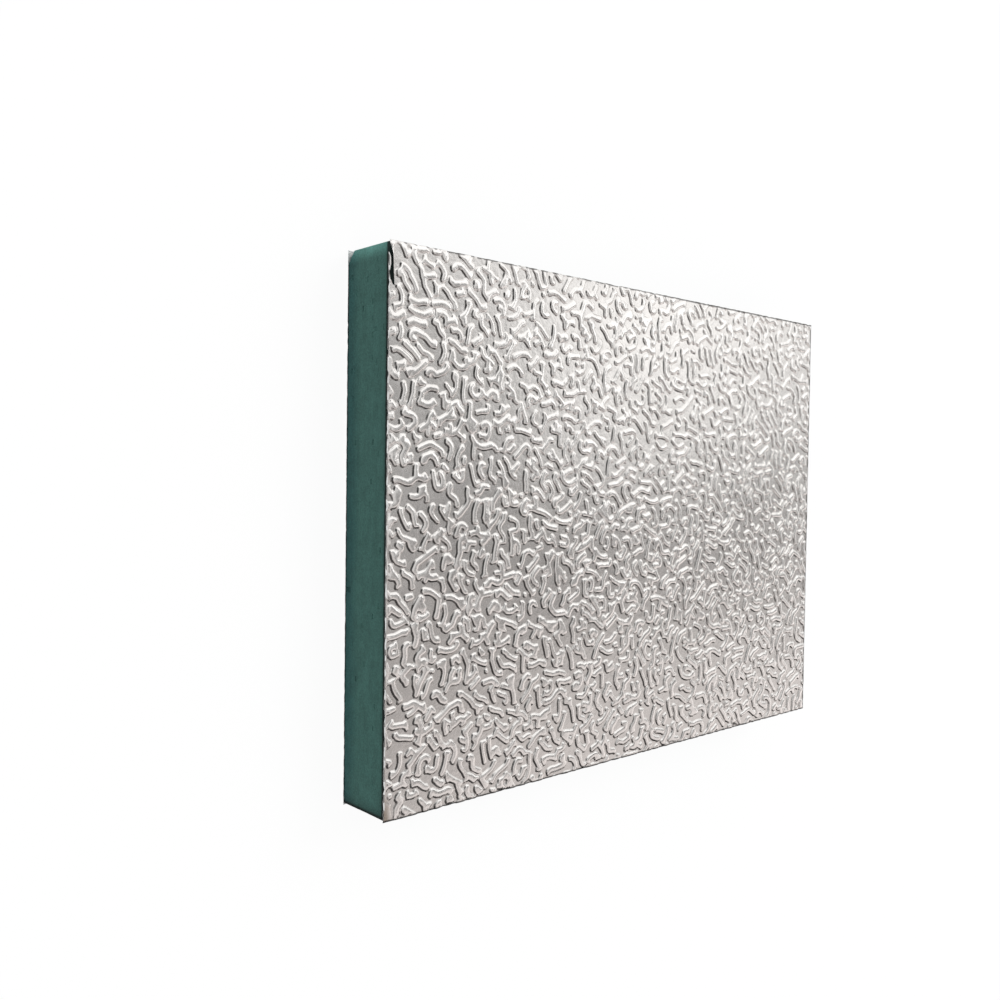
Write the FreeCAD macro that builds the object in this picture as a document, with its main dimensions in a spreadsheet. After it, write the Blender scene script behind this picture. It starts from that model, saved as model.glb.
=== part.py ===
"""Foil-faced rigid foam insulation board, lying flat on its back facing. Millimetres.

The origin is the middle of the board's underside: +X runs along its length, +Y along its width and
+Z up through its thickness, so that the front facing looks up.
"""
import FreeCAD, Part
import os
import Sketcher

TOLERANCE = 1e-6

# alias, value, what it sizes
SIZES = (
    ("board_length", 200.0, "over the facings"),
    ("board_width", 150.0, "over the facings"),
    ("board_thickness", 20.0, "over both facings' embossed crests"),
    ("facing_depth", 0.5, "foil and its embossing, foam to crest"),
    ("facing_edge_round", 0.3, "outer edge pressed over by the cut"),
    ("foam_setback", 0.25, "foam behind the facings' cut edge"),
    ("foam_corner_round", 0.6, "upright corners worn by the saw and by handling"),
    ("chip_height", 3.4, "broken corner, along the cut end"),
    ("chip_reach", 2.3, "broken corner, up from the back facing"),
    ("chip_depth", 2.0, "broken corner, into the length"),
    ("chip_floor_height", 1.1, "small end of the broken corner, along the cut end"),
    ("chip_floor_reach", 0.7, "small end of the broken corner, up from the back facing"),
)


def add_sizes(document):
    """The sheet of driving dimensions: name, value and meaning, one row each."""
    sheet = document.addObject("Spreadsheet::Sheet", "sizes")
    for row, (alias, value, meaning) in enumerate(SIZES, start=1):
        sheet.set(f"A{row}", alias)
        sheet.set(f"B{row}", str(value))
        sheet.set(f"C{row}", meaning)
        sheet.setAlias(f"B{row}", alias)
    document.recompute()
    return sheet


def add_body(document, name):
    """An empty body for one piece of the board."""
    body = document.addObject("PartDesign::Body", name)
    body.Label = name
    return body


def add_sketch(body, name, plane_role):
    """A sketch on one of the body's own origin planes."""
    sketch = body.newObject("Sketcher::SketchObject", name)
    planes = [feature for feature in body.Origin.OriginFeatures if feature.Role == plane_role]
    sketch.AttachmentSupport = (planes[0], [""])
    sketch.MapMode = "FlatFace"
    return sketch


def bind(sketch, constraint, name, formula):
    """Name a constraint and tie its value to the sheet."""
    index = sketch.addConstraint(constraint)
    sketch.renameConstraint(index, name)
    sketch.setExpression(f"Constraints.{name}", formula)


def draw_centred_rectangle(sketch, length_formula, width_formula):
    """A rectangle whose middle is the sketch's origin."""
    corners = [FreeCAD.Vector(x, y, 0) for x, y in ((-1, -1), (1, -1), (1, 1), (-1, 1))]
    for start, end in zip(corners, corners[1:] + corners[:1]):
        sketch.addGeometry(Part.LineSegment(start, end), False)
    for side in range(4):
        sketch.addConstraint(Sketcher.Constraint("Coincident", side, 2, (side + 1) % 4, 1))
    for side in (0, 2):
        sketch.addConstraint(Sketcher.Constraint("Horizontal", side))
    for side in (1, 3):
        sketch.addConstraint(Sketcher.Constraint("Vertical", side))
    sketch.addConstraint(Sketcher.Constraint("Symmetric", 0, 1, 1, 2, -1, 1))
    bind(sketch, Sketcher.Constraint("DistanceX", 0, 1, 0, 2, 2.0), "length", length_formula)
    bind(sketch, Sketcher.Constraint("DistanceY", 1, 1, 1, 2, 2.0), "width", width_formula)


def draw_corner_triangle(sketch, corner_formulas, height_formula, reach_formula):
    """A right triangle in the corner of the foam's cut end, its legs along the two edges there.

    The sketch's first axis is the board's width and its second is the board's thickness.
    """
    points = [FreeCAD.Vector(y, z, 0) for y, z in ((3, 1), (2, 1), (3, 2))]
    for start, end in zip(points, points[1:] + points[:1]):
        sketch.addGeometry(Part.LineSegment(start, end), False)
    for side in range(3):
        sketch.addConstraint(Sketcher.Constraint("Coincident", side, 2, (side + 1) % 3, 1))
    sketch.addConstraint(Sketcher.Constraint("Horizontal", 0))
    sketch.addConstraint(Sketcher.Constraint("Vertical", 2))
    across, up = corner_formulas
    bind(sketch, Sketcher.Constraint("DistanceX", -1, 1, 0, 1, 3.0), "corner_across", across)
    bind(sketch, Sketcher.Constraint("DistanceY", -1, 1, 0, 1, 1.0), "corner_up", up)
    bind(sketch, Sketcher.Constraint("DistanceX", 0, 2, 0, 1, 1.0), "height", height_formula)
    bind(sketch, Sketcher.Constraint("DistanceY", 2, 2, 2, 1, -1.0), "reach", reach_formula)


def pad(body, sketch, name, depth_formula):
    """Give a sketch its thickness, upwards."""
    feature = body.newObject("PartDesign::Pad", name)
    feature.Profile = sketch
    feature.Type = "Length"
    feature.setExpression("Length", depth_formula)
    body.Document.recompute()
    return feature


def fillet(body, base, name, edges, radius_formula):
    """Round the named edges of the feature before this one."""
    feature = body.newObject("PartDesign::Fillet", name)
    feature.Base = (base, edges)
    feature.setExpression("Radius", radius_formula)
    body.Document.recompute()
    return feature


def upright_edges(shape):
    """Names of the straight edges that run through the thickness."""
    names = []
    for number, edge in enumerate(shape.Edges, start=1):
        box = edge.BoundBox
        if box.XLength < TOLERANCE and box.YLength < TOLERANCE:
            names.append(f"Edge{number}")
    return names


def edges_at_level(shape, level):
    """Names of the edges that lie wholly at one height."""
    names = []
    for number, edge in enumerate(shape.Edges, start=1):
        box = edge.BoundBox
        if abs(box.ZMin - level) < TOLERANCE and abs(box.ZMax - level) < TOLERANCE:
            names.append(f"Edge{number}")
    return names


def make_facing(document, name, looks_up, height_formula):
    """One embossed foil: its full envelope, with the outer edge pressed over all round."""
    body = add_body(document, name)
    outline = add_sketch(body, f"{name}_outline", "XY_Plane")
    draw_centred_rectangle(outline, "sizes.board_length", "sizes.board_width")
    sheet = pad(body, outline, f"{name}_sheet", "sizes.facing_depth")
    outer_level = sheet.Shape.BoundBox.ZMax if looks_up else sheet.Shape.BoundBox.ZMin
    outer_edges = edges_at_level(sheet.Shape, outer_level)
    fillet(body, sheet, f"{name}_pressed_edge", outer_edges, "sizes.facing_edge_round")
    body.setExpression("Placement.Base.z", height_formula)
    return body


def make_foam_core(document):
    """The sawn foam slab between the facings, with its worn and broken corners."""
    body = add_body(document, "foam_core")
    outline = add_sketch(body, "foam_outline", "XY_Plane")
    length = "sizes.board_length - 2 * sizes.foam_setback"
    width = "sizes.board_width - 2 * sizes.foam_setback"
    draw_centred_rectangle(outline, length, width)
    slab = pad(body, outline, "foam_slab", "sizes.board_thickness - 2 * sizes.facing_depth")
    worn = fillet(body, slab, "worn_corners", upright_edges(slab.Shape), "sizes.foam_corner_round")
    break_corner(body, worn)
    body.setExpression("Placement.Base.z", "sizes.facing_depth")
    return body


def break_corner(body, base):
    """Take out the chip at the back corner of the left cut end, narrowing as it goes inwards."""
    corner = ("sizes.board_width / 2 - sizes.foam_setback", "0 mm")
    mouth = add_sketch(body, "chip_mouth", "YZ_Plane")
    draw_corner_triangle(mouth, corner, "sizes.chip_height", "sizes.chip_reach")
    mouth.setExpression("AttachmentOffset.Base.z", "sizes.foam_setback - sizes.board_length / 2")
    floor = add_sketch(body, "chip_floor", "YZ_Plane")
    draw_corner_triangle(floor, corner, "sizes.chip_floor_height", "sizes.chip_floor_reach")
    floor.setExpression(
        "AttachmentOffset.Base.z",
        "sizes.foam_setback - sizes.board_length / 2 + sizes.chip_depth",
    )
    body.Document.recompute()
    chip = body.newObject("PartDesign::SubtractiveLoft", "broken_corner")
    chip.Profile = mouth
    chip.Sections = [floor]
    chip.Ruled = True
    body.Document.recompute()
    if chip.Shape.Volume >= base.Shape.Volume - TOLERANCE:
        raise RuntimeError("the broken corner cut nothing")


def check_and_export(document, bodies):
    """Stop on any failed object, then write one file for each piece."""
    for item in document.Objects:
        if "Invalid" in item.State or "Error" in item.State:
            raise RuntimeError(f"{item.Name} failed: {item.State}")
    for body in bodies:
        shape = body.Shape
        if shape.isNull() or not shape.isValid() or len(shape.Solids) != 1:
            raise RuntimeError(f"{body.Label} isn't one valid solid")
    os.makedirs("parts", exist_ok=True)
    for body in bodies:
        body.Shape.exportStep(f"parts/{body.Label}.step")
        box = body.Shape.BoundBox
        print(f"{body.Label}: {body.Shape.Volume:.1f} mm3, z {box.ZMin:.3f} to {box.ZMax:.3f} mm")


def main():
    document = FreeCAD.newDocument("insulation_board")
    add_sizes(document)
    top = "sizes.board_thickness - sizes.facing_depth"
    bodies = [
        make_facing(document, "back_facing", False, "0 mm"),
        make_foam_core(document),
        make_facing(document, "front_facing", True, top),
    ]
    document.recompute()
    check_and_export(document, bodies)


main()
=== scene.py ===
"""Dresses the foil-faced insulation board: two embossed foils, the sawn foam, the floor, light and camera.

Lengths in the settings are metres. The embossing is drawn flat, in millimetres, and lifted into
place at the end. It stays mesh code, because no run of edit-mode steps draws a thousand ridges.
"""
import math

import bmesh
import bpy
import numpy as np
from bpy.props import FloatProperty, FloatVectorProperty, IntProperty, PointerProperty
from mathutils import Matrix, Vector
from mathutils.geometry import delaunay_2d_cdt


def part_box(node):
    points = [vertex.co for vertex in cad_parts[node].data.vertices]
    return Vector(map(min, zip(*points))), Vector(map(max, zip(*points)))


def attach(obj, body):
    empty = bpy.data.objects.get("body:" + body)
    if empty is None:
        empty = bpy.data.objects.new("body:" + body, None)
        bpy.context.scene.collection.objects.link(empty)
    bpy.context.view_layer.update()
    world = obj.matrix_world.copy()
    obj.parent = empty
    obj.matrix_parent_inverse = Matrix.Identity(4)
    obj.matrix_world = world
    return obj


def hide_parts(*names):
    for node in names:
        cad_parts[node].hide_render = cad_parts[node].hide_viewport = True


bl_info = {
    "name": "Foil-faced insulation board",
    "version": (1, 0, 0),
    "blender": (4, 5, 0),
    "location": "3D View > Sidebar > Board",
    "description": "Embosses the foils, saws the foam and sets the stage of an insulation board",
    "category": "Object",
}

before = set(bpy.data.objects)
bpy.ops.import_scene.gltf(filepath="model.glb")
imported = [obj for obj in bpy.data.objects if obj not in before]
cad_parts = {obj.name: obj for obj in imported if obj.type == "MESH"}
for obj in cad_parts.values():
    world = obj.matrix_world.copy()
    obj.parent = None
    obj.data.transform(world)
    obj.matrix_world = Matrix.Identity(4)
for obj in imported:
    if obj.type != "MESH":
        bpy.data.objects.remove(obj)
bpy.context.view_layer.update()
MM = 0.001


def length_setting(name, description, default, least, most):
    """A length that can be set, given in millimetres."""
    return FloatProperty(name=name, description=description, default=default * MM,
                         min=least * MM, max=most * MM, unit="LENGTH", precision=5)


def colour_setting(name, description, default):
    """A colour that can be set."""
    return FloatVectorProperty(name=name, description=description, default=default, size=3,
                               min=0, max=1, subtype="COLOR")


def point_setting(name, description, default):
    """A point that can be set, in metres."""
    return FloatVectorProperty(name=name, description=description, default=default, size=3,
                               subtype="TRANSLATION", unit="LENGTH")


class FoilSettings(bpy.types.PropertyGroup):
    """Sizes and finish of the embossed foils."""

    spacing: length_setting(
        "Ridge Spacing", "Least distance between the middles of two ridges", 2.3, 1.5, 6)
    half_width: length_setting(
        "Ridge Half Width", "From the middle of a ridge to its foot", 1.06, 0.5, 2)
    thickness: length_setting("Foil Thickness", "Thickness of the aluminium", 0.08, 0.02, 0.3)
    seed: IntProperty(
        name="Pattern Seed", description="Another number gives another run of ridges", default=7)
    colour: colour_setting(
        "Foil Colour", "Reflected colour of the clean aluminium", (0.93, 0.905, 0.88))
    # also painted shade: the foil between the ridges takes this darker colour, as do the handled patches
    hollow_shade_and_dull_colour: colour_setting(
        "Dull Colour", "Foil between the ridges and in handled patches", (0.80, 0.775, 0.75))
    scuff_colour: colour_setting("Scuff Colour", "The crushed corner", (0.47, 0.40, 0.33))
    backing_colour: colour_setting(
        "Backing Colour", "The foil's glued side, seen in breaks", (0.90, 0.905, 0.90))
    roughness: FloatProperty(
        name="Roughness", description="How far the satin foil spreads a reflection",
        default=0.22, min=0.05, max=1, subtype="FACTOR")


class FoamSettings(bpy.types.PropertyGroup):
    """Colour and surface of the sawn foam."""

    colour: colour_setting("Foam Colour", "Colour of the sawn foam", (0.055, 0.138, 0.121))
    skin_colour: colour_setting(
        "Skin Colour", "Denser, bluer foam near the back foil", (0.033, 0.101, 0.097))
    grid: length_setting("Grid", "Width of the squares that the foam is made of", 0.62, 0.4, 2)
    corner: length_setting("Worn Corner", "Radius of the worn upright corners", 0.6, 0.2, 2)
    saw_wave: length_setting("Saw Wave", "How far the sawn faces wander", 0.12, 0, 0.25)
    seed: IntProperty(
        name="Pit Seed", description="Another number opens other cells", default=21)


class StageSettings(bpy.types.PropertyGroup):
    """Camera, floor and light."""

    camera_place: point_setting(
        "Camera Place", "Where the camera stands, solved from the board's corners",
        (-0.24605, 0.01587, 0.22691))
    camera_aim: point_setting(
        "Camera Aim", "The point of the front foil in the middle of the picture",
        (-0.06150, 0.00828, 0.02))
    camera_roll: FloatProperty(
        name="Camera Roll", description="Turn about the line of sight",
        default=math.radians(0.769), subtype="ANGLE", unit="ROTATION")
    lens: FloatProperty(
        name="Focal Length", description="Lens, for a 36 mm wide picture",
        default=35.48, min=10, max=200, unit="CAMERA")
    floor_colour: colour_setting("Floor Colour", "Plain pale floor", (0.95, 0.95, 0.95))
    floor_white: FloatProperty(
        name="Floor White", description="Level of the floor's own white", default=1.02, min=0)
    floor_share: FloatProperty(
        name="Floor Share", description="How much of that white hides the floor's own shading",
        default=0.9, min=0, max=1, subtype="FACTOR")
    fill_level: FloatProperty(
        name="Fill Level", description="Even light from all around", default=0.72, min=0, max=2)
    room_level: FloatProperty(
        name="Room Level", description="What the metal mirrors between the shades",
        default=0.8, min=0, max=2)
    lamp_place: point_setting(
        "Lamp Place", "Where the lamp stands, turned to the board", (1.2, 1.0, 1.6))
    lamp_power: FloatProperty(
        name="Lamp Power", description="Soft lamp at the upper right, which casts the shadow",
        default=14.0, min=0, max=200, unit="POWER")


GROUPS = {"board_foil": FoilSettings, "board_foam": FoamSettings, "board_stage": StageSettings}


def board_settings():
    """The three groups of settings on the scene."""
    return [getattr(bpy.context.scene, name) for name in GROUPS]


# Material nodes


def fill(tree, socket, value):
    """Link a socket to another, or give it a plain value."""
    if isinstance(value, bpy.types.NodeSocket):
        tree.links.new(value, socket)
    else:
        socket.default_value = value


def add_node(tree, kind, *values, **options):
    """A node with its options set and its first inputs filled by links or plain values."""
    made = tree.nodes.new("ShaderNode" + kind)
    inputs = options.pop("inputs", {})
    for name, value in options.items():
        setattr(made, name, value)
    for place, value in [*enumerate(values), *inputs.items()]:
        fill(tree, made.inputs[place], value)
    return made


def calculate(tree, operation, *values):
    """A sum, product or other step on plain numbers."""
    return add_node(tree, "Math", *values, operation=operation).outputs[0]


def multiply(tree, *values):
    """A product of plain numbers."""
    product = values[0]
    for value in values[1:]:
        product = calculate(tree, "MULTIPLY", product, value)
    return product


def is_colour(value):
    """Whether a link or a plain value is a colour."""
    if isinstance(value, bpy.types.NodeSocket):
        return value.type == "RGBA"
    return isinstance(value, tuple)


def blend(tree, share, first, second, **options):
    """One colour or number fading into another. A plain colour has three values."""
    coloured = is_colour(first) or is_colour(second)
    made = add_node(tree, "Mix", share, data_type="RGBA" if coloured else "FLOAT", **options)
    for place, value in enumerate((first, second), start=6 if coloured else 2):
        fill(tree, made.inputs[place], (*value, 1) if isinstance(value, tuple) else value)
    return made.outputs[2 if coloured else 0]


def darkened(tree, colour, share):
    """A colour times a plain number."""
    grey = add_node(tree, "CombineColor", share, share, share).outputs[0]
    return blend(tree, 1.0, colour, grey, blend_type="MULTIPLY")


def ramp(tree, value, start, end, low=0.0, high=1.0):
    """A smooth change from low to high as the value runs from start to end."""
    made = add_node(tree, "MapRange", value, start, end, low, high,
                    interpolation_type="SMOOTHSTEP")
    return made.outputs[0]


def noise(tree, place, size, detail=3.0, stretch=(1, 1, 1), offset=(0, 0, 0)):
    """Soft random patches of a size in metres."""
    moved = add_node(tree, "Mapping", place, offset, (0, 0, 0), stretch).outputs[0]
    made = add_node(tree, "TexNoise", moved, inputs={"Scale": 1 / size, "Detail": detail})
    return made.outputs["Fac"]


def new_material(name):
    """A material, its node tree, its shader and the place on the piece."""
    made = bpy.data.materials.new(name)
    made.use_nodes = True
    tree = made.node_tree
    place = add_node(tree, "TexCoord").outputs["Object"]
    return made, tree, tree.nodes["Principled BSDF"], place


def set_shader(tree, shader, values, *layers):
    """Fill the shader's sockets and lay bumps one on another: height, depth in metres, strength."""
    for name, value in values.items():
        fill(tree, shader.inputs[name], value)
    below = None
    for height, depth, strength in layers:
        made = add_node(tree, "Bump", inputs={"Height": height, "Distance": depth,
                                              "Strength": strength})
        if below is not None:
            fill(tree, made.inputs["Normal"], below)
        below = made.outputs[0]
    if below is not None:
        fill(tree, shader.inputs["Normal"], below)


# Drawing the embossed pattern, in millimetres


class Raster:
    """A grid of small cells over one face and a margin around it."""

    def __init__(self, length, width):
        self.low = np.array((-length / 2 - self.MARGIN, -width / 2 - self.MARGIN))
        self.shape = (int((width + 2 * self.MARGIN) / self.CELL),
                      int((length + 2 * self.MARGIN) / self.CELL))


class RidgeField(Raster):
    """Knows where the middle of a new ridge may still run."""

    CELL = 0.25
    MARGIN = 3.0

    def __init__(self, length, width, spacing):
        super().__init__(length, width)
        self.taken = np.zeros(self.shape, bool)
        self.reach = int(spacing / self.CELL) + 1
        across = np.arange(-self.reach, self.reach + 1) * self.CELL
        self.disc = across[None, :] ** 2 + across[:, None] ** 2 <= spacing ** 2

    def cell(self, x, y):
        """Column and row of a point."""
        return int((x - self.low[0]) / self.CELL), int((y - self.low[1]) / self.CELL)

    def clear(self, x, y):
        """Whether a ridge may pass here."""
        column, row = self.cell(x, y)
        rows, columns = self.shape
        return 0 <= column < columns and 0 <= row < rows and not self.taken[row, column]

    def block(self, points):
        """Keep later ridges clear of this one."""
        rows, columns = self.shape
        reach = self.reach
        for x, y in points:
            column, row = self.cell(x, y)
            left, right = max(column - reach, 0), min(column + reach + 1, columns)
            low, high = max(row - reach, 0), min(row + reach + 1, rows)
            if left < right and low < high:
                part = self.disc[low - row + reach:high - row + reach,
                                 left - column + reach:right - column + reach]
                self.taken[low:high, left:right] |= part

    def open_cells(self):
        """Middles of all cells that are still clear."""
        rows, columns = np.nonzero(~self.taken)
        return self.low + (np.stack((columns, rows), 1) + 0.5) * self.CELL


# a ridge is drawn in steps; its turns at a step are in radians
STEP = 0.5
SLOW_TURN = 0.42
SHARP_TURN = 0.9
# the turns that are tried in order until one is clear: the share of the wanted turn, and the rest
DETOURS = ((1, 0), (1, 0.15), (1, -0.15), (0, 0), (1, 0.35), (1, -0.35), (0, 0.6), (0, -0.6))
# shares of the stretches that run straight, and that run straight or bend slowly
STRAIGHT_SHARE = 0.35
SMOOTH_SHARE = 0.72
# shares of the ridges that are commas, and that are commas or hooks; the rest are long worms
COMMA_SHARE = 0.22
HOOK_SHARE = 0.85
# how close a ridge may come to itself and an arm to its own stem, as shares of the spacing
OWN_SPACING = 0.95
ARM_SPACING = 0.9
# how often a ridge gets an arm, the shortest arm, and how often a mere dot is kept
FORK_SHARE = 0.6
LEAST_ARM = 1.7
DOT_SHARE = 0.35


def next_stretch(draw):
    """How the next stretch of a ridge runs: its steps, its bend at each and the corner before it."""
    steps = int(draw.integers(3, 9))
    kind = draw.random()
    if kind < STRAIGHT_SHARE:
        return steps, draw.normal(0, 0.06), 0.0
    if kind < SMOOTH_SHARE:
        return steps, draw.choice((-1, 1)) * draw.uniform(0.10, SLOW_TURN), 0.0
    return steps, draw.normal(0, 0.08), draw.choice((-1, 1)) * draw.uniform(0.5, SHARP_TURN)


def walk(field, draw, start, heading, distance, own, spacing):
    """Step on while the way is clear: straight stretches, slow bends and sharp corners."""
    x, y = start
    known = len(own)
    left, bend, corner = 0, 0.0, 0.0
    while distance > 0:
        if left == 0:
            left, bend, corner = next_stretch(draw)
        left -= 1
        turn = corner or bend + draw.normal(0, 0.05)
        corner = 0.0
        for share, rest in DETOURS:
            angle = min(max(turn * share + rest, -SHARP_TURN), SHARP_TURN)
            east, north = math.cos(heading + angle) * STEP, math.sin(heading + angle) * STEP
            if not (field.clear(x + east, y + north) and field.clear(x + 2 * east, y + 2 * north)):
                continue
            if all(math.dist(point, (x + east, y + north)) > spacing for point in own[:-5]):
                break
        else:
            break
        heading += angle
        x, y = x + east, y + north
        own.append((x, y))
        distance -= STEP
    return own[known:]


def snug_seed(field, draw, point):
    """Slide a free point up to its neighbours, so that the gaps stay even."""
    x, y = point
    first = draw.random() * 2 * math.pi
    for bearing in (first, first + math.pi / 2) * 2:
        east, north = math.cos(bearing) * field.CELL, math.sin(bearing) * field.CELL
        for _ in range(30):
            if not field.clear(x + east, y + north):
                break
            x, y = x + east, y + north
    return x, y


def wanted_length(draw):
    """How long a ridge would like to be: some commas, many hooks and a few long worms."""
    kind = draw.random()
    if kind < COMMA_SHARE:
        return draw.uniform(1.5, 3.5)
    if kind < HOOK_SHARE:
        return draw.uniform(3.5, 7.0)
    return draw.uniform(7.0, 11.0)


def grow_branch(field, draw, path, spacing):
    """A side arm that leaves a ridge part of the way along, or nothing if there is no room."""
    fork = int(draw.integers(1, len(path) - 1))
    along = math.atan2(path[fork + 1][1] - path[fork - 1][1], path[fork + 1][0] - path[fork - 1][0])
    heading = along + draw.choice((-1, 1)) * draw.uniform(0.9, 1.8)
    others = [point for place, point in enumerate(path) if abs(place - fork) > 5]
    x, y = path[fork]
    arm = [path[fork]]
    turn = draw.normal(0, 0.15)
    for _ in range(int(draw.uniform(2.0, 5.0) / STEP)):
        heading += turn
        x, y = x + STEP * math.cos(heading), y + STEP * math.sin(heading)
        near = any(math.dist(point, (x, y)) < spacing * ARM_SPACING for point in others)
        if near or not field.clear(x, y):
            break
        arm.append((x, y))
    return arm if len(arm) * STEP > LEAST_ARM else None


def grow_ridge(field, draw, start, want, spacing):
    """One ridge both ways from its start, along the heading that has most room."""
    best, heading = [], 0.0
    for _ in range(4):
        bearing = draw.random() * 2 * math.pi
        reached = walk(field, draw, start, bearing, want, [start], spacing * OWN_SPACING)
        if len(reached) > len(best):
            best, heading = reached, bearing
    path = [start] + best
    left = want - STEP * len(best)
    if left > STEP and len(best) > 1:
        own = path[::-1]
        back = walk(field, draw, start, heading + math.pi, left, own, spacing * OWN_SPACING)
        path = back[::-1] + path
    return path


# least length of a ridge in each round, and how many misses end the round
ROUNDS = ((5.5, 250), (3.0, 250), (1.5, 200), (0.0, 1))
# starts that are tried before the clear cells are listed afresh
STARTS = 100


def grow_ridges(draw, length, width, spacing, given):
    """Lay ridges until no room is left. Each is a list of paths, a stem and its arms."""
    field = RidgeField(length, width, spacing)
    ridges = [[path] for path in given]
    for path in given:
        field.block(path)
    for least, patience in ROUNDS:
        misses = 0
        while misses < patience:
            cells = field.open_cells()
            if not len(cells):
                return ridges
            for choice in draw.permutation(len(cells))[:STARTS]:
                if not field.clear(*cells[choice]):
                    continue
                start = snug_seed(field, draw, cells[choice])
                want = max(wanted_length(draw), least)
                path = grow_ridge(field, draw, start, want, spacing)
                reached = (len(path) - 1) * STEP
                if reached < min(least, want):
                    misses += 1
                    continue
                if reached < 1.0 and draw.random() > DOT_SHARE:
                    field.block([start])
                    continue
                parts = [path]
                while len(path) > 5 and len(parts) < 3 and draw.random() < FORK_SHARE:
                    arm = grow_branch(field, draw, path, spacing)
                    if not arm:
                        break
                    parts.append(arm)
                for part in parts:
                    field.block(part)
                ridges.append(parts)
    return ridges


def worn(values):
    """A row of numbers or points with its corners worn off."""
    values = np.array(values, float)
    if len(values) > 2:
        values[1:-1] = (values[:-2] + 2 * values[1:-1] + values[2:]) / 4
    return values


def half_widths(draw, path, half):
    """Half a ridge's width along its path: fatter at corners, uneven at ends and on the way."""
    count = len(path)
    halves = half * draw.uniform(0.90, 1.08) * draw.uniform(0.94, 1.06, count)
    if count > 2:
        bearing = np.arctan2(*np.diff(path, axis=0).T[::-1])
        bend = np.abs((np.diff(bearing) + math.pi) % (2 * math.pi) - math.pi)
        halves[1:-1] *= 1 + 0.25 * np.minimum(bend, 0.8)
        near = np.exp(-np.arange(count) * STEP)
        halves *= 1 + draw.uniform(-0.08, 0.12) * near
        halves *= 1 + draw.uniform(-0.08, 0.12) * near[::-1]
        halves = worn(worn(halves))
    return halves


def end_flares(draw, before, end):
    """Short spurs that square off the end of a ridge or widen it to a wedge."""
    heading = math.atan2(*(end - before)[::-1])
    flares = []
    for side in (-1, 1):
        if draw.random() < 0.5:
            bearing = heading + side * draw.uniform(0.9, 2.1)
            reach = draw.uniform(0.3, 1.2)
            tip = end + reach * np.array((math.cos(bearing), math.sin(bearing)))
            flares.append(np.array((end, tip)))
    return flares


# depth in from a ridge's foot, and the slope of its side there; its height is whole at CREST_IN
FLANK_IN = (0.0, 0.36, 0.52, 1.1)
FLANK_SLOPE = (1.0, 1.0, 0.32, 0.015)
FINE_IN = np.linspace(0, FLANK_IN[-1], 241)
FINE_SLOPE = np.interp(FINE_IN, FLANK_IN, FLANK_SLOPE)
FINE_HEIGHT = np.r_[0, np.cumsum((FINE_SLOPE[1:] + FINE_SLOPE[:-1]) / 2 * np.diff(FINE_IN))]
CREST_IN = 0.95
# how the cut left the foil: pressed flat near its edge and turned over the foam at the edge itself
TURN_IN = 0.32
TURN_DOWN = 0.26
PRESS_IN = 1.15
PRESS_KEPT_AT_ENDS = 0.2
PRESS_KEPT_ALONG = 0.6


def box_blur(raster, radius):
    """A running mean over a square, twice. Each pass turns the raster over for the other axis."""
    size = 2 * radius + 1
    for _ in range(4):
        padded = np.pad(raster, ((radius + 1, radius), (0, 0)), mode="edge")
        total = np.cumsum(padded, axis=0, dtype=np.float64)
        raster = ((total[size:] - total[:-size]) / size).T
    return raster


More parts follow.
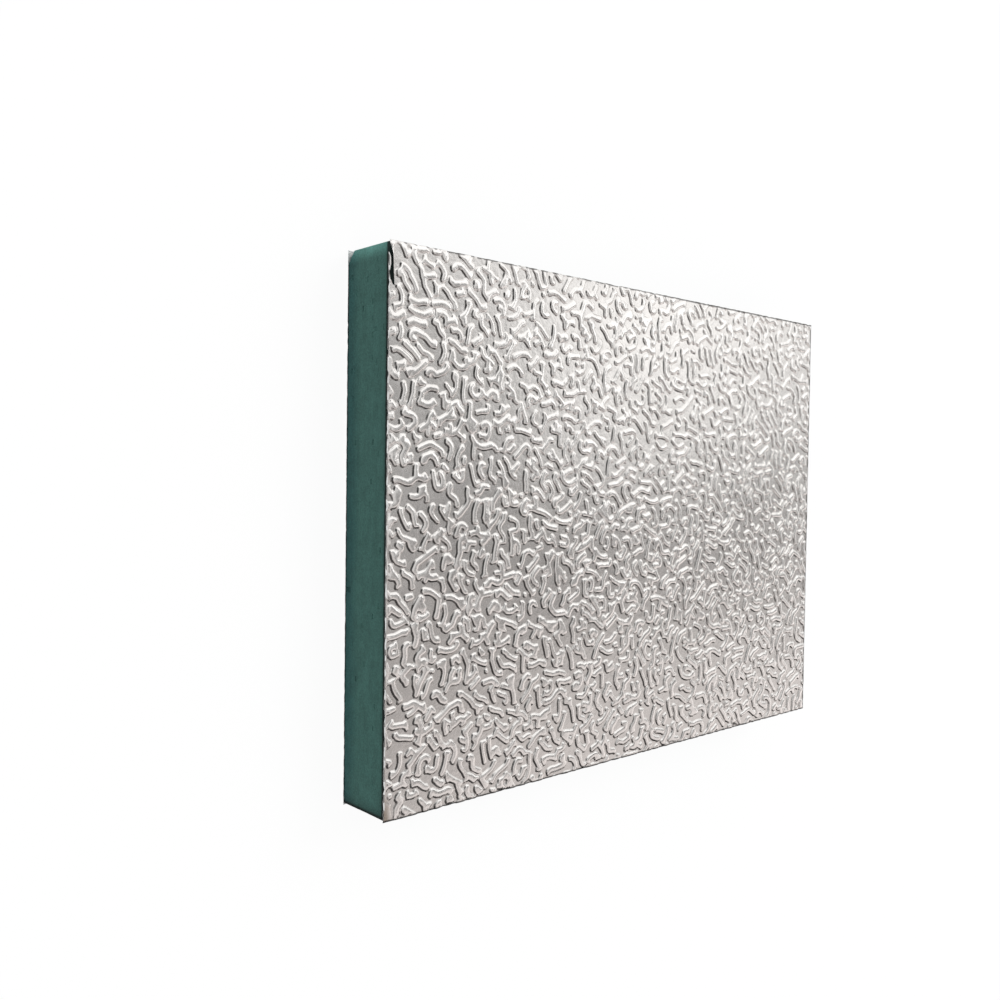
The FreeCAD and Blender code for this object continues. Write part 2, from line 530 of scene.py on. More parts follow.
class Relief(Raster):
    """The embossed pattern of one foil, as a raster of how deep each place lies in a ridge."""

    CELL = 0.1
    MARGIN = 2.5
    # half the brush's square, in cells, and the depth far from any ridge
    REACH = 22
    FAR = -1.6

    def __init__(self, draw, length, width, spacing, half, rise, given=(), crush=None):
        super().__init__(length, width)
        self.size = (length, width)
        self.crush = crush
        self.rise = rise
        depth = np.full(self.shape, self.FAR, np.float32)
        self.paths = []
        for parts in grow_ridges(draw, length, width, spacing, given):
            for place, part in enumerate(parts):
                path = worn(part)
                halves = half_widths(draw, path, half)
                self.stamp(depth, path, halves)
                self.paths.append(path)
                ends = ((path[-2:], halves[-1]), (path[1::-1], halves[0]))
                for (before, end), reach in ends[:1 if place else 2] if len(path) > 1 else ():
                    for flare in end_flares(draw, before, end):
                        self.stamp(depth, flare, np.full(2, reach * draw.uniform(0.72, 0.9)))
        self.depth = box_blur(depth, 2)
        self.north, self.east = np.gradient(self.depth, self.CELL)

    def stamp(self, depth, path, halves):
        """Raise the depth along one path, as a round brush of the ridge's width would."""
        run = np.r_[0, np.cumsum(np.hypot(*np.diff(path, axis=0).T))]
        stops = np.linspace(0, run[-1], max(1, int(run[-1] / 0.15) + 1))
        xs, ys, reaches = (np.interp(stops, run, row) for row in (path[:, 0], path[:, 1], halves))
        rows, columns = depth.shape
        reach = self.REACH
        grid = (np.arange(-reach, reach + 1) + 0.5) * self.CELL
        for x, y, half in zip(xs - self.low[0], ys - self.low[1], reaches):
            column, row = int(x / self.CELL), int(y / self.CELL)
            if reach <= column < columns - reach and reach <= row < rows - reach:
                aside = grid[None, :] + (column * self.CELL - x)
                ahead = grid[:, None] + (row * self.CELL - y)
                view = depth[row - reach:row + reach + 1, column - reach:column + reach + 1]
                np.maximum(view, half - np.hypot(aside, ahead), out=view)

    def sample(self, raster, points):
        """The raster's value at each point, between its cells."""
        place = (points - self.low) / self.CELL - 0.5
        whole = np.clip(place.astype(int), 0, np.array(raster.shape)[::-1] - 2)
        across, up = np.clip(place - whole, 0, 1).T
        column, row = whole.T
        below = raster[row, column] * (1 - across) + raster[row, column + 1] * across
        above = raster[row + 1, column] * (1 - across) + raster[row + 1, column + 1] * across
        return below * (1 - up) + above * up

    def from_edge(self, points):
        """How far in from the nearest cut edge each point lies, and the way inwards there."""
        east, north = self.size[0] / 2, self.size[1] / 2
        gaps = np.column_stack((points[:, 0] + east, east - points[:, 0],
                                points[:, 1] + north, north - points[:, 1]))
        nearest = gaps.argmin(1)
        inwards = np.array(((1, 0), (-1, 0), (0, 1), (0, -1)))[nearest]
        return gaps[np.arange(len(points)), nearest], inwards

    def look_up(self, points):
        """Height, normal, normal of the flat foil and depth in a ridge at each point."""
        depth = self.sample(self.depth, points)
        scale = self.rise / np.interp(CREST_IN, FINE_IN, FINE_HEIGHT)
        if self.crush is not None:
            scale = scale * self.crush(points)
        height = np.minimum(scale * np.interp(depth, FINE_IN, FINE_HEIGHT), self.rise)
        slope = (scale * np.interp(depth, FINE_IN, FINE_SLOPE))[:, None]
        slope = slope * np.column_stack([self.sample(self.east, points),
                                         self.sample(self.north, points)])
        edge, inwards = self.from_edge(points)
        reach = PRESS_IN - TURN_IN
        share = np.clip((edge - TURN_IN) / reach, 0, 1)
        least = np.where(inwards[:, 0] == 0, PRESS_KEPT_ALONG, PRESS_KEPT_AT_ENDS)
        kept = least + (1 - least) * share ** 2 * (3 - 2 * share)
        turned = np.clip(1 - edge / TURN_IN, 0, 1)
        tilt = height * (1 - least) * 6 * share * (1 - share) / reach
        tilt = inwards * (tilt + 2 * TURN_DOWN / TURN_IN * turned)[:, None]
        normals = []
        for steepness in (slope * kept[:, None] + tilt, tilt):
            normal = np.column_stack((-steepness, np.ones(len(points))))
            normals.append(normal / np.linalg.norm(normal, axis=1)[:, None])
        return height * kept - TURN_DOWN * turned ** 2, *normals, depth


# for each pattern of corners inside, the sides of a square where an outline comes in and goes out:
# 0 below, 1 right, 2 above, 3 left; corners count 1, 2, 4 and 8 from the lower left, anticlockwise
CROSSINGS = {1: ((0, 3),), 2: ((1, 0),), 3: ((1, 3),), 4: ((2, 1),), 5: ((0, 3), (2, 1)),
             6: ((2, 0),), 7: ((2, 3),), 8: ((3, 2),), 9: ((0, 2),), 10: ((1, 0), (3, 2)),
             11: ((1, 2),), 12: ((3, 1),), 13: ((0, 1),), 14: ((3, 0),)}


def trace(relief, level):
    """Closed outlines of the places that lie deeper than a level, anticlockwise."""
    raster = relief.depth - level
    rows, columns = raster.shape
    inside = raster > 0
    code = (inside[:-1, :-1] + 2 * inside[:-1, 1:] + 4 * inside[1:, 1:] + 8 * inside[1:, :-1])
    following = {}
    for pattern, crossings in CROSSINGS.items():
        row, column = np.nonzero(code == pattern)
        square = row * columns + column
        sides = (square, rows * columns + square + 1, square + columns, rows * columns + square)
        for enter, leave in crossings:
            following.update(zip(sides[enter].tolist(), sides[leave].tolist()))
    loops = []
    while following:
        start, place = following.popitem()
        loop = [start]
        while place != start:
            loop.append(place)
            place = following.pop(place)
        loops.append(loop)
    outlines = []
    flat = raster.ravel()
    for loop in loops:
        side = np.array(loop)
        upright = side >= rows * columns
        first = np.where(upright, side - rows * columns, side)
        second = first + np.where(upright, columns, 1)
        share = flat[first] / (flat[first] - flat[second])
        column = first % columns + 0.5 + np.where(upright, 0, share)
        row = first // columns + 0.5 + np.where(upright, share, 0)
        outlines.append(relief.low + np.column_stack((column, row)) * relief.CELL)
    return outlines


def thinned(points, tolerance, longest):
    """The fewest points of a path that stay within the tolerance of it, none too far apart."""
    keep = {0, len(points) - 1}
    spans = [(0, len(points) - 1)]
    while spans:
        first, last = spans.pop()
        if last - first < 2:
            continue
        chord = points[last] - points[first]
        reach = math.hypot(*chord)
        inner = points[first + 1:last] - points[first]
        if reach < 1e-6:
            off = np.hypot(inner[:, 0], inner[:, 1])
        else:
            off = np.abs(inner[:, 0] * chord[1] - inner[:, 1] * chord[0]) / reach
        worst = int(off.argmax())
        if off[worst] > tolerance or reach > longest:
            middle = first + 1 + worst if off[worst] > tolerance else (first + last) // 2
            keep.add(middle)
            spans += [(first, middle), (middle, last)]
    return points[sorted(keep)]


# the ragged cut: the distance between its points, how far in they lie, and its deeper nicks
CUT_STEP = 1.1
CUT_IN = 0.02
CUT_RAGGED = 0.10
NICK_SHARE = 0.07
NICK = 0.2


def cut_edge(draw, length, width):
    """The foil's outline, a little ragged from the cut, anticlockwise."""
    corners = np.array(((-1, -1), (1, -1), (1, 1), (-1, 1))) * (length / 2, width / 2)
    outline = []
    for corner, following in zip(corners, np.roll(corners, -1, axis=0)):
        side = following - corner
        reach = np.hypot(*side)
        inwards = np.array((-side[1], side[0])) / reach
        count = int(reach / CUT_STEP)
        for step in range(count):
            depth = CUT_IN + CUT_RAGGED * draw.random() if step else CUT_IN
            if step and draw.random() < NICK_SHARE:
                depth += NICK
            outline.append(corner + side * step / count + inwards * depth)
    return np.array(outline)


# how far the mesh may stray from the outlines and the spines, and its longest edge along them
OUTLINE_TOLERANCES = (0.05, 0.055, 0.1)
SPINE_TOLERANCE = 0.12
LONGEST_EDGE = 1.9


def embossed_plan(relief, outline, split):
    """The foil seen from above: points and triangles, with edges along every ridge's outlines."""
    points, edges = [Vector(point) for point in outline], []

    def add_path(path, closed=True):
        first, count = len(points), len(path)
        points.extend(Vector(point) for point in path)
        edges.extend((first + place, first + (place + 1) % count)
                     for place in range(count if closed else count - 1))

    east, north = np.array(relief.size) / 2 - TURN_IN
    add_path(((-east, -north), (east, -north), (east, north), (-east, north)))
    if len(split):
        add_path(split)
    for level, tolerance in zip(FLANK_IN[:3], OUTLINE_TOLERANCES):
        for loop in trace(relief, level):
            ring = thinned(np.concatenate((loop, loop[:1])), tolerance, LONGEST_EDGE)[:-1]
            if len(ring) > 2:
                add_path(ring)
    for path in relief.paths:
        add_path(thinned(path, SPINE_TOLERANCE, LONGEST_EDGE), False)
    border = list(range(len(outline)))
    made = delaunay_2d_cdt(points, edges, [border], 0, 1e-4)
    inside = np.array([face for face, origin in zip(made[2], made[5]) if 0 in origin])
    plan = np.array([tuple(point) for point in made[0]])
    if len(split):
        inside = inside[~within(plan[inside].mean(1), split)]
    used = np.unique(inside)
    renumber = np.zeros(len(plan), int)
    renumber[used] = np.arange(len(used))
    return plan[used], renumber[inside]


def within(points, outline):
    """Which points lie inside a closed outline."""
    odd = np.zeros(len(points), bool)
    for (x, y), (east, north) in zip(outline, np.roll(outline, -1, axis=0)):
        spans = (points[:, 1] < y) != (points[:, 1] < north)
        if y != north:
            crossing = x + (points[:, 1] - y) * (east - x) / (north - y)
            odd ^= spans & (points[:, 0] < crossing)
    return odd


# how far the scuff reaches from the lower left corner, along x, y and z
SCUFF_REACH = (2.2 * MM, 6.5 * MM, 4 * MM)


def foil_material(settings):
    """Satin aluminium foil: handled patches, fine rolling grain, dents and a scuffed corner."""
    made, tree, shader, place = new_material("embossed_foil")
    low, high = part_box("front_facing")
    relief = add_node(tree, "Attribute", attribute_name="relief").outputs["Fac"]
    # darker colour in handled patches and between the ridges; between the ridges it is painted shade in
    # the hollows
    smudge = ramp(tree, noise(tree, place, 30 * MM, 4.0), 0.50, 0.72, 0.0, 0.6)
    dull = calculate(tree, "MAXIMUM", smudge, ramp(tree, relief, 0.2, 0.9, 1.0, 0.0))
    colour = blend(tree, dull, tuple(settings.colour), tuple(settings.hollow_shade_and_dull_colour))
    corner = (low.x, low.y, high.z)
    from_corner = add_node(tree, "Mapping", place, tuple(
        -value / reach for value, reach in zip(corner, SCUFF_REACH)), (0, 0, 0), tuple(
            1 / reach for reach in SCUFF_REACH)).outputs[0]
    away = add_node(tree, "VectorMath", from_corner, operation="LENGTH").outputs["Value"]
    away = calculate(tree, "ADD", away, noise(tree, place, 2 * MM))
    scuff = ramp(tree, away, 0.9, 1.9, 0.85, 0.0)
    colour = blend(tree, scuff, colour, tuple(settings.scuff_colour))
    # painted shade along the far, upper and lower edges, along the upper one in stretches
    x, y, _ = add_node(tree, "SeparateXYZ", place).outputs
    jag = multiply(tree, noise(tree, place, 3 * MM), 0.4 * MM)
    far = calculate(tree, "SUBTRACT", high.x, calculate(tree, "ADD", x, jag))
    broken = ramp(tree, noise(tree, place, 2 * MM, 1.0), 0.42, 0.56, 0.6 * MM, 0.15 * MM)
    gone = blend(tree, ramp(tree, x, low.x * 0.5, high.x * 0.4), broken, 0.0)
    upper = calculate(tree, "ADD", calculate(tree, "SUBTRACT", high.y, y), gone)
    lower = calculate(tree, "SUBTRACT", y, low.y)
    painted_edge_shade = 1.0
    for gap, start, end, level in ((far, 0.5, 1.2, 0.25), (upper, 0.4, 0.9, 0.22),
                                   (lower, 0.4, 0.8, 0.15)):
        line = ramp(tree, gap, start * MM, end * MM, level, 1.0)
        painted_edge_shade = calculate(tree, "MINIMUM", painted_edge_shade, line)
    # crests are smoother than the foil between them, and the scuff is rougher
    rough = multiply(tree, noise(tree, place, 4 * MM), 0.14)
    rough = calculate(tree, "ADD", settings.roughness - 0.04, rough)
    rough = calculate(tree, "SUBTRACT", rough, multiply(tree, relief, 0.04))
    rough = calculate(tree, "ADD", rough, multiply(tree, scuff, 0.25))
    dents = noise(tree, place, 1.6 * MM, 2.0, offset=(0.3, 0.1, 0))
    grain = noise(tree, place, 0.7 * MM, 2.0)
    values = {"Base Color": darkened(tree, colour, painted_edge_shade), "Metallic": 1.0, "Roughness": rough}
    set_shader(tree, shader, values, (dents, 0.12 * MM, 0.5), (grain, 0.03 * MM, 0.4))
    return made


def backing_material(settings):
    """The foil's dull glued side and its cut rim, with traces of foam on it."""
    made, tree, shader, place = new_material("foil_backing")
    traces = ramp(tree, noise(tree, place, 1.5 * MM, 4.0), 0.45, 0.70)
    clean = tuple(settings.backing_colour)
    colour = blend(tree, traces, clean, tuple(0.8 * value for value in clean))
    values = {"Base Color": colour, "Roughness": 0.55}
    set_shader(tree, shader, values, (noise(tree, place, 0.6 * MM), 0.1 * MM, 0.4))
    return made


def build_foil(name, node, settings, seed, looks_up, finishes, given=(), crush=None, split=()):
    """One foil: the embossed sheet, its cut rim and its underside, as a closed thin skin."""
    low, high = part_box(node)
    length, width = (high.x - low.x) / MM, (high.y - low.y) / MM
    thickness = settings.thickness / MM
    rise = (high.z - low.z) / MM - thickness
    draw = np.random.default_rng(seed)
    relief = Relief(draw, length, width, settings.spacing / MM, settings.half_width / MM,
                    rise, given, crush)
    plan, faces = embossed_plan(relief, cut_edge(draw, length, width), split)
    height, normal, flat_normal, depth = relief.look_up(plan)
    points = np.column_stack((plan, thickness + height))
    mesh = bpy.data.meshes.new(name)
    mesh.from_pydata(points.tolist(), [], faces.tolist())
    mesh.attributes.new("relief", "FLOAT", "POINT").data.foreach_set(
        "value", np.clip(depth / FLANK_IN[2], 0, 1))
    bm = bmesh.new()
    bm.from_mesh(mesh)
    close_underside(bm, length, width, thickness)
    bm.to_mesh(mesh)
    bm.free()
    lift(mesh, low.z if looks_up else high.z, looks_up)
    sloped = (depth[faces] > 0.02).any(axis=1)[:, None, None]
    set_relief_normals(mesh, np.where(sloped, normal[faces], flat_normal[faces]), looks_up)
    for finish in finishes:
        mesh.materials.append(finish)
    # painted glints: stretches of the sawn end take the pale backing finish
    painted_glints = painted_glint_stretches(draw, plan[faces].mean(1), length, width)
    mesh.polygons.foreach_set("material_index", painted_glints.astype(int).tolist()
                              + [1] * (len(mesh.polygons) - len(faces)))
    foil = bpy.data.objects.new(name, mesh)
    bpy.context.collection.objects.link(foil)
    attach(foil, "root")
    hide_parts(node)


def painted_glint_stretches(draw, middles, length, width):
    """Stretches of the sawn end with the pale backing finish: painted glints on the cut edge."""
    at_end = middles[:, 0] < -length / 2 + TURN_IN
    painted_glints = np.zeros(len(middles), bool)
    start = -width / 2
    while start < width / 2:
        start += draw.uniform(0.8, 6.0)
        reach = draw.uniform(0.6, 4.0)
        painted_glints |= at_end & (middles[:, 1] > start) & (middles[:, 1] < start + reach)
        start += reach
    return painted_glints


# how far in from the edges, and from the torn corner, the foil's underside follows its ridges
UNDER_BORDER = 1.3
TEAR_BORDER = (3.2, 13.5)


def close_underside(bm, length, width, thickness):
    """Give the sheet its rim and underside. Only a border of the underside follows the ridges."""
    border = []
    for face in bm.faces:
        centre = face.calc_center_median()
        east, north = length / 2 - abs(centre.x), width / 2 - abs(centre.y)
        by_tear = centre.x < TEAR_BORDER[0] - length / 2 and centre.y > width / 2 - TEAR_BORDER[1]
        if east < UNDER_BORDER or north < UNDER_BORDER or by_tear:
            border.append(face)
    rim = [edge for edge in bm.edges if edge.is_boundary]
    copy = bmesh.ops.duplicate(bm, geom=border)
    twin = copy["vert_map"]
    under = [item for item in copy["geom"] if isinstance(item, bmesh.types.BMFace)]
    bmesh.ops.reverse_faces(bm, faces=under)
    for corner in {corner for face in under for corner in face.verts}:
        corner.co.z -= thickness
    for edge in rim:
        loop = edge.link_loops[0]
        first, second = loop.vert, loop.link_loop_next.vert
        bm.faces.new((second, first, twin[first], twin[second]))
    inner = [edge for edge in bm.edges if edge.is_boundary]
    for corner in {corner for edge in inner for corner in edge.verts}:
        corner.co.z = 0.0
    filled = bmesh.ops.holes_fill(bm, edges=inner)
    bmesh.ops.triangulate(bm, faces=filled["faces"])


def lift(mesh, level, looks_up):
    """From flat millimetres to metres in place, turned over for the foil that looks down."""
    points = np.empty(len(mesh.vertices) * 3, np.float32)
    mesh.vertices.foreach_get("co", points)
    points = points.reshape(-1, 3) * MM
    if not looks_up:
        points[:, 2] *= -1
        mesh.flip_normals()
    points[:, 2] += level
    mesh.vertices.foreach_set("co", points.ravel())
    mesh.update()


def set_relief_normals(mesh, embossed, looks_up):
    """Shade each corner of the embossed triangles by the relief's own slope, and the rest flat."""
    mesh.shade_smooth()
    facets = np.empty(len(mesh.polygons) * 3, np.float32)
    mesh.polygons.foreach_get("normal", facets)
    totals = np.empty(len(mesh.polygons), np.int32)
    mesh.polygons.foreach_get("loop_total", totals)
    shading = np.repeat(facets.reshape(-1, 3), totals, axis=0).astype(float)
    if not looks_up:
        embossed = embossed[:, [0, 2, 1]] * (1, 1, -1)
    shading[:3 * len(embossed)] = embossed.reshape(-1, 3)
    mesh.normals_split_custom_set(shading.tolist())


# a ridge that the saw ran along and tore open, at the upper end of the left cut edge
TORN_RIDGE = [(-99.3, 74.5 - 0.5 * step) for step in range(20)]
TEAR = ((-100.5, 75.5), (-100.5, 72.2), (-99.85, 71.6), (-99.4, 70.2), (-99.2, 69.0), (-99.55, 68.2),
        (-99.8, 66.5), (-99.6, 64.9), (-98.7, 63.6), (-98.1, 63.4), (-98.3, 65.0), (-98.55, 67.0),
        (-98.65, 69.4), (-98.85, 71.4), (-99.3, 73.0), (-99.7, 74.3), (-99.85, 75.5))


# the crushed lower left corner: its place, its reach both ways and the relief that is left in it
CRUSHED_AT = (-100, -75)
CRUSHED_REACH = (2.6, 6.0)
CRUSHED_KEPT = 0.12


def crushed_corner(points):
    """How much of the relief is left near the crushed lower left corner."""
    away = np.hypot(*((points - CRUSHED_AT) / CRUSHED_REACH).T)
    share = np.clip((away - 0.6) / 1.2, 0, 1)
    return CRUSHED_KEPT + (1 - CRUSHED_KEPT) * share ** 2 * (3 - 2 * share)


class BOARD_OT_emboss_foils(bpy.types.Operator):
    """Make the two stucco-embossed foils"""

    bl_idname = "board.emboss_foils"
    bl_label = "Emboss Foils"

    def execute(self, context):
        settings = board_settings()[0]
        finishes = (foil_material(settings), backing_material(settings))
        build_foil("front_foil", "front_facing", settings, settings.seed, True, finishes,
                   [TORN_RIDGE], crushed_corner, TEAR)
        build_foil("back_foil", "back_facing", settings, settings.seed + 1, False, finishes)
        return {"FINISHED"}


def foam_material(settings):
    """Dull closed-cell foam, denser and bluer near the back foil, with fine cells and streaks."""
    made, tree, shader, place = new_material("sawn_foam")
    low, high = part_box("foam_core")
    x, y, z = add_node(tree, "SeparateXYZ", place).outputs
    level = calculate(tree, "ADD", z, multiply(tree, noise(tree, place, 12 * MM), 5 * MM))
    skin = ramp(tree, level, low.z + 3.5 * MM, low.z + 9.5 * MM, 1.0, 0.0)
    colour = blend(tree, skin, tuple(settings.colour), tuple(settings.skin_colour))
    cells = noise(tree, place, 0.4 * MM, 2.0)
    streaks = noise(tree, place, 1.2 * MM, 3.0, stretch=(0.15, 0.15, 1))
    mottle = calculate(tree, "ADD", noise(tree, place, 4 * MM, 3.0), streaks)
    tone = calculate(tree, "MULTIPLY_ADD", cells, 0.5, multiply(tree, mottle, 0.25))
    tone = ramp(tree, tone, 0.25, 0.75, 0.70, 1.28)
    spots = add_node(tree, "TexVoronoi", place, inputs={"Scale": 1 / (2.1 * MM)}).outputs
    size = multiply(tree, add_node(tree, "SeparateColor", spots["Color"]).outputs[0], 0.30)
    inside = calculate(tree, "SUBTRACT", spots["Distance"], size)
    tone = multiply(tree, tone, ramp(tree, inside, -0.16, -0.08, 0.62, 1.0))
    # painted light along the cut end's upper side, painted shade along its lower one and its foot
    end = ramp(tree, x, low.x + 0.4 * MM, low.x + 3 * MM, 1.0, 0.0)
    light = multiply(tree, ramp(tree, y, high.y - 4.2 * MM, high.y + 0.4 * MM, 1.0, 2.3),
                     ramp(tree, y, low.y - 0.8 * MM, low.y + 4.2 * MM, 0.42, 1.0),
                     ramp(tree, y, low.y + 0.55 * MM, low.y + 1.4 * MM, 0.14, 1.0))
    tone = multiply(tree, tone, blend(tree, end, 1.0, light))
    # darker towards the front foil, more so in its last few millimetres
    tone = multiply(tree, tone, ramp(tree, z, low.z + 9 * MM, high.z - 2 * MM, 1.0, 0.91),
                    ramp(tree, z, high.z - 2.6 * MM, high.z, 1.0, 0.6))
    # a thin dark line under each foil
    jag = multiply(tree, noise(tree, place, 1.2 * MM), 0.5 * MM)
    front = calculate(tree, "SUBTRACT", high.z, calculate(tree, "ADD", z, jag))
    rear = calculate(tree, "SUBTRACT", calculate(tree, "SUBTRACT", z, low.z), jag)
    tone = multiply(tree, tone, ramp(tree, front, 0.6 * MM, 1.3 * MM, 0.12, 1.0),
                    ramp(tree, rear, 0, 0.25 * MM, 0.2, 1.0))
    values = {"Base Color": darkened(tree, colour, tone), "Roughness": 0.85,
              "Specular IOR Level": 0.2}
    set_shader(tree, shader, values, (streaks, 0.2 * MM, 0.3), (cells, 0.15 * MM, 0.5))
    return made


def select(kind, rule):
    """Select only the faces or edges that a rule picks, in edit mode."""
    bpy.ops.mesh.select_all(action="DESELECT")
    mesh = bpy.context.object.data
    bm = bmesh.from_edit_mesh(mesh)
    for item in getattr(bm, kind):
        if rule(item):
            item.select_set(True)
    bm.select_flush_mode()
    bmesh.update_edit_mesh(mesh)


def middle(item):
    """Middle of an edge or a face."""
    return sum((corner.co for corner in item.verts), Vector()) / len(item.verts)


def saw_outline(settings, low, high):
    """The foam's outline as a ring of short edges, with its worn corners."""
    size, centre = high - low, (low + high) / 2
    bpy.ops.mesh.primitive_plane_add(size=1, location=(centre.x, centre.y, low.z))
    foam = bpy.context.object
    foam.name = "foam_block"
    bpy.ops.object.mode_set(mode="EDIT")
    bpy.ops.transform.resize(value=(size.x, size.y, 1), center_override=tuple(centre))
    bpy.ops.mesh.bevel(offset=settings.corner, affect="VERTICES", segments=4)
    bpy.ops.mesh.delete(type="ONLY_FACE")
    for axis in (0, 1):
        select("edges", lambda edge: abs((edge.verts[1].co - edge.verts[0].co)[axis]) > 10 * MM)
        cuts = int((size[axis] - 2 * settings.corner) / settings.grid) - 1
        bpy.ops.mesh.subdivide(number_cuts=cuts)
    return foam


# three points where the break meets the foam's edges, in millimetres from the corner that it lost
BREAK = ((0, -3.4, 0), (0, 0, 3.0), (2.7, 0, 0))


def break_corner(low, high):
    """Cut off the broken corner. Gives a point of the break and the way it faces."""
    corner = Vector((low.x, high.y, low.z))
    first, second, third = (corner + Vector(reach) * MM for reach in BREAK)
    facing = (second - first).cross(third - first).normalized()
    bpy.ops.mesh.select_all(action="SELECT")
    bpy.ops.mesh.bisect(plane_co=first, plane_no=facing, use_fill=True, clear_outer=True)
    select("faces", lambda face: face.normal.dot(facing) > 0.99
           and (middle(face) - first).length < 6 * MM)
    bpy.ops.mesh.poke()
    bpy.ops.mesh.subdivide(number_cuts=2)
    return first, facing


def build_foam(settings):
    """The sawn foam: an outline raised in thin slices, its corner broken, its open cells pitted."""
    low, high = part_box("foam_core")
    foam = saw_outline(settings, low, high)
    slices = int((high.z - low.z) / settings.grid)
    bpy.ops.mesh.select_all(action="SELECT")
    for _ in range(slices):
        bpy.ops.mesh.extrude_region_move(
            TRANSFORM_OT_translate={"value": (0, 0, (high.z - low.z) / slices)})
    bpy.ops.mesh.edge_face_add()
    select("edges", lambda edge: edge.is_boundary)
    bpy.ops.mesh.edge_face_add()
    bpy.ops.mesh.select_all(action="SELECT")
    bpy.ops.mesh.normals_make_consistent(inside=False)
    point, facing = break_corner(low, high)
    bpy.ops.object.mode_set(mode="OBJECT")
    roughen_break(foam, low, high, point, facing)
    wave_sawn_faces(foam, settings, low, high)
    pit_sawn_faces(foam, settings, low, high)
    bpy.ops.object.transform_apply(location=True, rotation=True, scale=True)
    foam.data.materials.append(foam_material(settings))
    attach(foam, "root")
    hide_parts("foam_core")


def roughen(foam, corners, size, depth):
    """Move some corners in and out by a cloudy pattern."""
    group = foam.vertex_groups.new(name="rough")
    group.add(corners, 1.0, "REPLACE")
    texture = bpy.data.textures.new("cloudy", "CLOUDS")
    texture.noise_scale = size
    wave = foam.modifiers.new("rough", "DISPLACE")
    wave.texture = texture
    wave.vertex_group = group.name
    wave.mid_level = 0.5
    wave.strength = depth
    bpy.ops.object.modifier_apply(modifier=wave.name)


def roughen_break(foam, low, high, point, facing):
    """Roughen the broken corner inside its outline."""
    inside = []
    for corner in foam.data.vertices:
        place = corner.co + foam.location
        from_edges = min(place.x - low.x, high.y - place.y, place.z - low.z)
        if abs((place - point).dot(facing)) < 0.01 * MM and from_edges > 0.05 * MM:
            inside.append(corner.index)
    roughen(foam, inside, 0.8 * MM, 0.7 * MM)


def wave_sawn_faces(foam, settings, low, high):
    """Let the sawn faces wander a little, but not where they meet the foils."""
    inner = [corner.index for corner in foam.data.vertices
             if low.z + 0.1 * MM < corner.co.z + foam.location.z < high.z - 0.1 * MM]
    for size, share in ((20 * MM, 1.0), (3 * MM, 0.45)):
        roughen(foam, inner, size, settings.saw_wave * share)


# open cells stay this far from the foils
PIT_MARGIN = 0.9 * MM
# how many open cells of each kind, and the width of their rim and their depth
PITS = ((60, 0.12 * MM, 0.16 * MM), (140, 0.19 * MM, 0.12 * MM), (24, 0.08 * MM, 0.20 * MM))


def face_place(face):
    """Middle of a face in whole micrometres, which tells it however the faces are numbered."""
    return tuple(round(value * 1e6) for value in middle(face))


def pit_sawn_faces(foam, settings, low, high):
    """Sink small open cells into the sawn faces."""
    draw = np.random.default_rng(settings.seed)
    base, bottom, top = foam.location.z, low.z + PIT_MARGIN, high.z - PIT_MARGIN
    bpy.ops.object.mode_set(mode="EDIT")
    bm = bmesh.from_edit_mesh(foam.data)
    walls = sorted(face_place(face) for face in bm.faces if len(face.verts) == 4
                   and abs(face.normal.z) < 0.4 and bottom < middle(face).z + base < top)
    order = draw.permutation(len(walls))
    for count, rim, depth in PITS:
        chosen = {walls[place] for place in order[:count]}
        order = order[count:]
        select("faces", lambda face: face_place(face) in chosen)
        bpy.ops.mesh.inset(thickness=rim, depth=-depth, use_individual=True)
    bpy.ops.object.mode_set(mode="OBJECT")


class BOARD_OT_saw_foam(bpy.types.Operator):
    """Make the sawn foam core"""

    bl_idname = "board.saw_foam"
    bl_label = "Saw Foam"

    def execute(self, context):
        build_foam(board_settings()[1])
        return {"FINISHED"}


# The stage


def set_camera(settings):
    """The photograph's viewpoint, looking down on the lying board."""
    place, aim = Vector(settings.camera_place), Vector(settings.camera_aim)
    forward = (aim - place).normalized()
    right = forward.cross(Vector((0, 1, 0))).normalized()
    upward = right.cross(forward)
    turn = Matrix.Rotation(settings.camera_roll, 3, -forward)
    axes = Matrix((turn @ right, turn @ upward, -forward)).transposed()
    bpy.ops.object.camera_add(location=place)
    camera = bpy.context.object
    camera.name = "photo_view"
    camera.matrix_world = Matrix.Translation(place) @ axes.to_4x4()
    camera.data.lens = settings.lens
    camera.data.sensor_width = 36
    camera.data.clip_start = 0.005
    bpy.context.scene.camera = camera


def background_share(tree, share):
    """That share for rays from the camera, from metal or through glass, and none for the rest."""
    path = add_node(tree, "LightPath").outputs
    seen = calculate(tree, "MAXIMUM", path["Is Camera Ray"], calculate(
        tree, "MAXIMUM", path["Is Glossy Ray"], path["Is Transmission Ray"]))
    return calculate(tree, "MULTIPLY", seen, share)


def set_floor(settings):
    """A plain pale floor under the back foil, which keeps the board's soft shadow."""
    bpy.ops.mesh.primitive_plane_add(size=8, location=(0, 0, 0))
    floor = bpy.context.object
    floor.name = "floor"
    made, tree, shader, _ = new_material("pale_floor")
    set_shader(tree, shader, {"Base Color": (*settings.floor_colour, 1), "Roughness": 0.9,
                              "Specular IOR Level": 0.1})
    white = add_node(tree, "Emission", (1, 1, 1, 1), settings.floor_white).outputs[0]
    share = background_share(tree, settings.floor_share)
    both = add_node(tree, "MixShader", share, shader.outputs[0], white)
    tree.links.new(both.outputs[0], tree.nodes["Material Output"].inputs["Surface"])
    made.cycles.emission_sampling = "NONE"
    floor.data.materials.append(made)


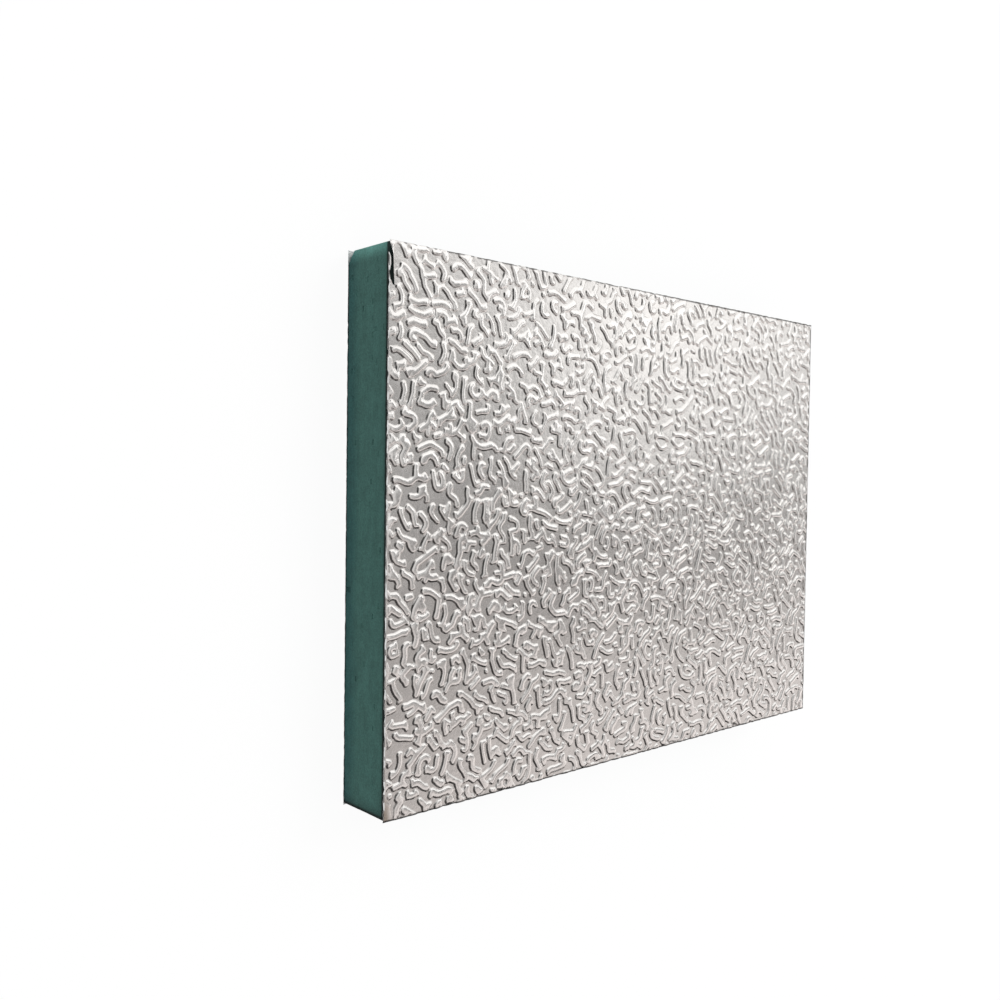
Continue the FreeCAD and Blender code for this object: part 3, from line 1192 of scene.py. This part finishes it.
# azimuth from +X and elevation of each shade's middle, the radii where it is whole and where it
# ends, in degrees, and its level of light; a later shade covers an earlier one
SHADES = (
    # the dim room beyond the far end, which the plain foil shows
    (5, 52, 20, 30, 0.22),
    # a paler wall before the board's lower half
    (-30, 34, 10, 20, 0.82),
    # the window whose glare lies across the middle, and the bright side wall next to it
    (16, 43, 6, 16, 1.60),
    (56, 40, 23, 34, 1.15),
    (38, -14, 20, 30, 1.28),
    # dark gaps overhead, which draw the ridges' shaded sides on the left
    (6, 57, 2, 15, 0.02),
    (-7, 69, 2, 20, 0.65),
    # the dark room behind the camera and at both sides of it
    (148, 46, 12, 42, 0.03),
    (-127, 35, 29, 55, 0.05),
    # the dark table edge below the board
    (-25, -13, 11, 22, 0.02),
    (-58, 6, 21, 36, 0.02),
    # a pale strip along the far wall's foot, brighter to its right
    (10, 14, 8, 18, 0.97),
    (-15, 17, 6, 13, 1.08),
    # two small soft lights that soften the ridges' crests
    (217, 68, 1, 11, 0.40),
    (-68, 63, 1, 11, 0.38),
)


# the tint of what the metal mirrors at the board's lower side, and elsewhere
WARM_TINT = (1.0, 0.945, 0.93)
PLAIN_TINT = (1.0, 1.0, 1.0)


def set_shades(settings):
    """Soft shades and windows around the board, which only its metal sees."""
    bpy.ops.mesh.primitive_uv_sphere_add(segments=64, ring_count=32, radius=3.5, location=(0, 0, 0))
    dome = bpy.context.object
    dome.name = "light_shades"
    made, tree, _, place = new_material("soft_shades")
    direction = add_node(tree, "VectorMath", place, operation="NORMALIZE").outputs[0]
    level = settings.room_level
    for azimuth, elevation, inner, outer, shade in SHADES:
        toward = Matrix.Rotation(math.radians(azimuth), 3, "Z") @ Matrix.Rotation(
            math.radians(-elevation), 3, "Y") @ Vector((1, 0, 0))
        aligned = add_node(tree, "VectorMath", direction, toward, operation="DOT_PRODUCT")
        share = ramp(tree, aligned.outputs["Value"], *(
            math.cos(math.radians(radius)) for radius in (outer, inner)))
        level = blend(tree, share, level, shade)
    side = add_node(tree, "SeparateXYZ", direction).outputs[1]
    tint = blend(tree, ramp(tree, side, -0.35, 0.1), WARM_TINT, PLAIN_TINT)
    glow = add_node(tree, "Emission", tint, level).outputs[0]
    tree.links.new(glow, tree.nodes["Material Output"].inputs["Surface"])
    made.cycles.emission_sampling = "NONE"
    dome.data.materials.append(made)
    for ray in ("camera", "diffuse", "transmission", "volume_scatter", "shadow"):
        setattr(dome, "visible_" + ray, False)


def set_light(settings):
    """Even light all round and one large soft lamp."""
    world = bpy.data.worlds.new("studio")
    bpy.context.scene.world = world
    world.use_nodes = True
    tree = world.node_tree
    strength = blend(tree, background_share(tree, 1.0), settings.fill_level, 1.0)
    sky = tree.nodes["Background"]
    sky.inputs["Color"].default_value = (1, 1, 1, 1)
    tree.links.new(strength, sky.inputs["Strength"])
    place = Vector(settings.lamp_place)
    bpy.ops.object.light_add(type="AREA", location=place)
    lamp = bpy.context.object
    lamp.name = "soft_lamp"
    lamp.rotation_euler = (-place).to_track_quat("-Z", "Y").to_euler()
    lamp.data.shape = "DISK"
    lamp.data.size = 1.4
    lamp.data.energy = settings.lamp_power
    lamp.visible_glossy = False


class BOARD_OT_set_stage(bpy.types.Operator):
    """Set the floor, the light and the camera"""

    bl_idname = "board.set_stage"
    bl_label = "Set Stage"

    def execute(self, context):
        settings = board_settings()[2]
        set_floor(settings)
        set_shades(settings)
        set_light(settings)
        set_camera(settings)
        bpy.context.scene.view_settings.view_transform = "Standard"
        return {"FINISHED"}


class BOARD_PT_pieces(bpy.types.Panel):
    """Lists the board's pieces and its stage"""

    bl_label = "Insulation Board"
    bl_idname = "BOARD_PT_pieces"
    bl_space_type = "VIEW_3D"
    bl_region_type = "UI"
    bl_category = "Board"

    def draw(self, context):
        for operator, group in zip(OPERATORS, board_settings()):
            box = self.layout.box()
            box.operator(operator.bl_idname)
            for name in group.__annotations__:
                box.prop(group, name)


OPERATORS = (BOARD_OT_emboss_foils, BOARD_OT_saw_foam, BOARD_OT_set_stage)
CLASSES = (*GROUPS.values(), *OPERATORS, BOARD_PT_pieces)


def register():
    for item in CLASSES:
        bpy.utils.register_class(item)
    for name, group in GROUPS.items():
        setattr(bpy.types.Scene, name, PointerProperty(type=group))


def unregister():
    for name in GROUPS:
        delattr(bpy.types.Scene, name)
    for item in reversed(CLASSES):
        bpy.utils.unregister_class(item)


def main():
    """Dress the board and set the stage."""
    register()
    bpy.ops.object.select_all(action="DESELECT")
    bpy.ops.board.emboss_foils()
    bpy.ops.board.saw_foam()
    bpy.ops.board.set_stage()


if __name__ == "__main__":
    main()
